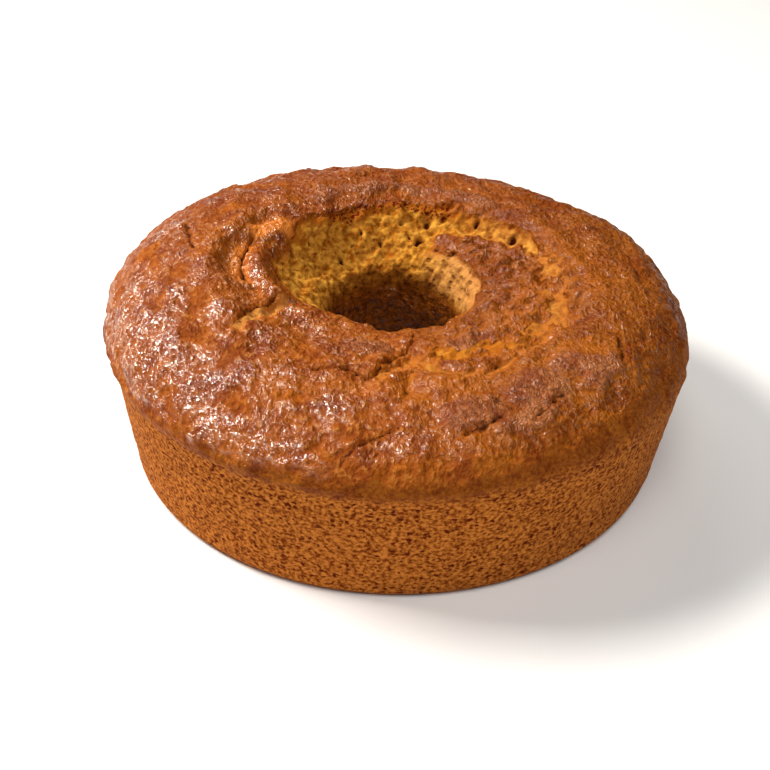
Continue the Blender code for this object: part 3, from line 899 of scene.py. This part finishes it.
def giveSheen(tree, shader, field, pattern, crumbShare):
    # the skin has a low even sheen, and a film of baked egg and fat that glints where it is smooth
    matte = addNode(tree, "Math", {0: field["sideShare"], 1: crumbShare}, operation="MAXIMUM")
    skinRough = addNode(tree, "MapRange",
                        {"Value": field["gloss"], "To Min": finish["crustRoughness"],
                         "To Max": finish["glossyRoughness"]})
    roughness = addNode(tree, "Mix", {0: matte, 2: skinRough, 3: finish["crumbRoughness"]})
    skinShare = addNode(tree, "Math", {0: 1.0, 1: matte}, operation="SUBTRACT")
    film = addNode(tree, "MapRange", {"Value": field["gloss"], "From Min": 0.1, "From Max": 0.8})
    ridge = addNode(tree, "MapRange",
                    {"Value": pattern["crease"], "From Min": 0.42, "From Max": 0.56, "To Min": 0.12,
                     "To Max": 1.0})
    onRidges = addNode(tree, "Math", {0: film, 1: ridge}, operation="MULTIPLY")
    coat = addNode(tree, "Math", {0: onRidges, 1: skinShare}, operation="MULTIPLY")
    tree.links.new(roughness, shader.inputs["Roughness"])
    tree.links.new(coat, shader.inputs["Coat Weight"])
    shader.inputs["Specular IOR Level"].default_value = finish["specularLevel"]
    shader.inputs["Coat Roughness"].default_value = finish["filmRoughness"]
    shader.inputs["Coat IOR"].default_value = finish["filmIOR"]


def giveRelief(tree, shader, field, pattern, share):  # bumps too fine for the mesh
    grainAmount = addNode(tree, "MapRange",
                          {"Value": field["smoothShare"], "From Min": 0.25, "From Max": 0.7, "To Min": 0.5,
                           "To Max": 0.0})
    grainy = addNode(tree, "Math", {0: pattern["sideContrast"], 1: grainAmount, 2: pattern["fine"]},
                     operation="MULTIPLY_ADD")
    cracked = addNode(tree, "Math", {0: pattern["plateCrackle"], 1: -0.9, 2: grainy},
                      operation="MULTIPLY_ADD")
    skinHeight = addNode(tree, "Math", {0: pattern["crease"], 1: 4.4, 2: cracked}, operation="MULTIPLY_ADD")
    sideHeight = addNode(tree, "Math", {0: share["pore"], 1: -1.0, 2: pattern["sideGrain"]},
                         operation="MULTIPLY_ADD")
    grainHeight = addNode(tree, "Math", {0: pattern["grain"], 1: 2.5}, operation="MULTIPLY")
    crumbHeight = addNode(tree, "Math", {0: share["pit"], 1: -1.5, 2: grainHeight}, operation="MULTIPLY_ADD")
    bakedHeight = addNode(tree, "Mix", {0: field["sideShare"], 2: skinHeight, 3: sideHeight})
    height = addNode(tree, "Mix", {0: share["crumb"], 2: bakedHeight, 3: crumbHeight})
    bump = addNode(tree, "Bump", {"Height": height, "Strength": 1.0, "Distance": finish["bumpHeight"]})
    tree.links.new(bump, shader.inputs["Normal"])
    tree.links.new(bump, shader.inputs["Coat Normal"])


def bakedCake():  # butter batter, browned by the oven: a thin wrinkled skin with a sheen, and matte crumb
    material = bpy.data.materials.new("bakedCake")
    material.use_nodes = True
    tree = material.node_tree
    shader = tree.nodes["Principled BSDF"]
    colour = {name: toLinear(value) for name, value in finish.items() if str(value).startswith("#")}
    field = {}
    for name in ("crumbDepth", "cleftDepth", "gloss", "sideShare", "plateShare", "amberShare", "scorchShare",
                 "toastShare", "smoothShare", "tubeBrownAndShadeShare", "paleAndLitShare", "thinAndLitShare", "openShare",
                 "deepShare"):
        field[name] = addNode(tree, "Attribute", attribute_name=name, out="Fac")
    pattern = layPatterns(tree)
    plateCrackle = addNode(tree, "Math", {0: pattern["crackleLine"], 1: field["plateShare"]},
                           operation="MULTIPLY")
    pattern["plateCrackle"] = plateCrackle
    share = tearShares(tree, field, pattern)
    skin = skinColour(tree, field, pattern, colour)
    side, share["pore"] = sideColour(tree, field, pattern, colour)
    crumb, share["pit"] = crumbColour(tree, field, pattern, share["deepCrumb"], colour)
    tube = addNode(tree, "Mix", {0: pattern["crumbContrast"], 6: colour["tubeDeep"], 7: colour["tubePale"]},
                   out=2, data_type="RGBA")
    # the tube's dark browns are partly browning against the tin and partly painted shade
    inTube = addNode(tree, "Math", {0: field["tubeBrownAndShadeShare"], 1: 0.85}, operation="MULTIPLY")
    scorched = addNode(tree, "Math", {0: pattern["specks"], 1: field["scorchShare"]}, operation="MULTIPLY")
    # the cleft colour is painted shade in the cracks and pockets
    layers = ((field["sideShare"], side), (share["crumb"], crumb), (inTube, tube),
              (scorched, colour["scorch"]), (share["cleft"], colour["cleft"]))
    baked = skin
    for layerShare, over in layers:
        baked = addNode(tree, "Mix", {0: layerShare, 6: baked, 7: over}, out=2, data_type="RGBA")
    tree.links.new(baked, shader.inputs["Base Color"])
    giveSheen(tree, shader, field, pattern, share["crumb"])
    giveRelief(tree, shader, field, pattern, share)
    return material


def makeCake():
    cake, form = layOutRing()
    print("form laid out:", len(cake.data.vertices), "points")
    cutTears(cake, form)
    raiseRelief(cake)
    cake.vertex_groups.clear()
    bpy.ops.object.shade_smooth()
    cake.data.materials.append(bakedCake())
    return cake


setCamera()
setStudio()
print("camera and studio set")
cake = makeCake()
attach(cake, "root")
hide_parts("ring_cake")
print("cake made:", len(cake.data.polygons) * 2, "triangles")
